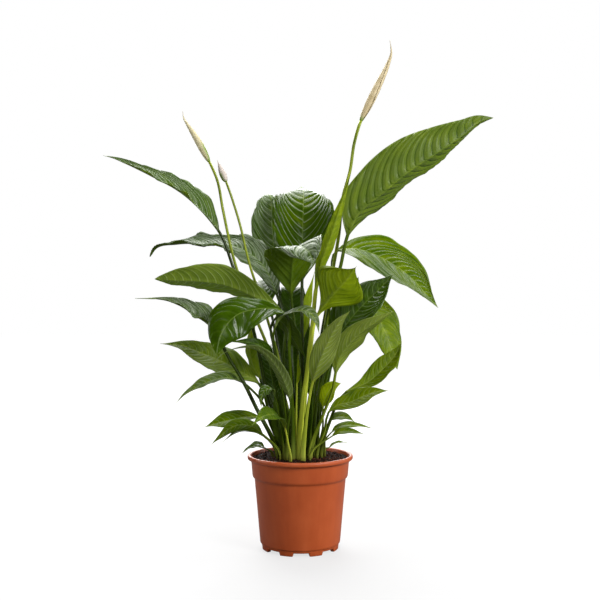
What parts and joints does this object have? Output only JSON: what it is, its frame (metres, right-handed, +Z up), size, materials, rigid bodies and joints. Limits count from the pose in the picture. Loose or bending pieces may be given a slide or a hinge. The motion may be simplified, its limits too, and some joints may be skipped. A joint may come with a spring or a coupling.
{
  "type": "potted peace lily",
  "caption": "Peace lily in a terracotta-coloured plastic nursery pot: a clump of long-stalked arching glossy leaves with flower stalks whose spathes are still rolled.",
  "frame": {"origin": "on the surface that the pot's feet stand on, at the pot's axis, which is also the middle of the plant's spread", "axes": "+Z up along the pot's axis, +X to the right as the front is seen, +Y to the back"},
  "size_m": [0.639, 0.3728, 0.8214],
  "materials": {
    "pot_plastic": "moulded terracotta-coloured plastic with a soft sheen",
    "potting_mix": "moist dark crumbly potting mix with bark fibres",
    "leaf_tissue": "glossy deep green upper face with pressed-in side veins, matte grey-green lower face",
    "stalk_tissue": "smooth yellow-green flower stalk with a satin sheen",
    "spathe_tissue": "cream rolled spathe, matte with fine cross ridges"
  },
  "bodies": {
    "root": {"nursery_pot": "pot_plastic", "potting_soil": "potting_mix", "leaf_top_right": "leaf_tissue", "leaf_top_left": "leaf_tissue", "leaf_left_glossy": "leaf_tissue", "leaf_left_wide": "leaf_tissue", "leaf_back_left": "leaf_tissue", "leaf_back_top": "leaf_tissue", "leaf_centre_cup": "leaf_tissue", "leaf_right_arch": "leaf_tissue", "leaf_young": "leaf_tissue", "leaf_front_right_bright": "leaf_tissue", "leaf_right_dark": "leaf_tissue", "leaf_right_hidden": "leaf_tissue", "leaf_right_drooping": "leaf_tissue", "leaf_right_grey": "leaf_tissue", "leaf_front_grey": "leaf_tissue", "leaf_left_dark": "leaf_tissue", "leaf_left_folded": "leaf_tissue", "leaf_left_bright": "leaf_tissue", "leaf_left_arching": "leaf_tissue", "leaf_left_edge_on": "leaf_tissue", "leaf_left_band": "leaf_tissue", "leaf_left_curled": "leaf_tissue", "leaf_left_inner": "leaf_tissue", "leaf_centre_drooping": "leaf_tissue", "leaf_centre_arching": "leaf_tissue", "leaf_centre_young": "leaf_tissue", "leaf_inner_left": "leaf_tissue", "leaf_inner_front": "leaf_tissue", "leaf_inner_right": "leaf_tissue", "leaf_inner_back": "leaf_tissue", "leaf_low_left": "leaf_tissue", "leaf_low_front": "leaf_tissue", "leaf_low_narrow": "leaf_tissue", "leaf_low_dark": "leaf_tissue", "leaf_rim_left": "leaf_tissue", "leaf_rim_tip": "leaf_tissue", "leaf_centre_back_bright": "leaf_tissue", "leaf_right_long": "leaf_tissue", "leaf_right_low": "leaf_tissue", "leaf_right_small": "leaf_tissue", "leaf_low_right_arch": "leaf_tissue", "leaf_low_right_back": "leaf_tissue", "leaf_low_right_front": "leaf_tissue", "leaf_rim_right": "leaf_tissue", "leaf_far_left_low": "leaf_tissue", "leaf_far_left_high": "leaf_tissue", "leaf_far_middle": "leaf_tissue", "leaf_far_right_low": "leaf_tissue", "leaf_far_right_high": "leaf_tissue", "flower_stalk_left_tall": "stalk_tissue", "spathe_left_tall": "spathe_tissue", "flower_stalk_left_short": "stalk_tissue", "spathe_left_short": "spathe_tissue", "flower_stalk_right_tall": "stalk_tissue", "spathe_right_tall": "spathe_tissue"}
  },
  "joints": []
}
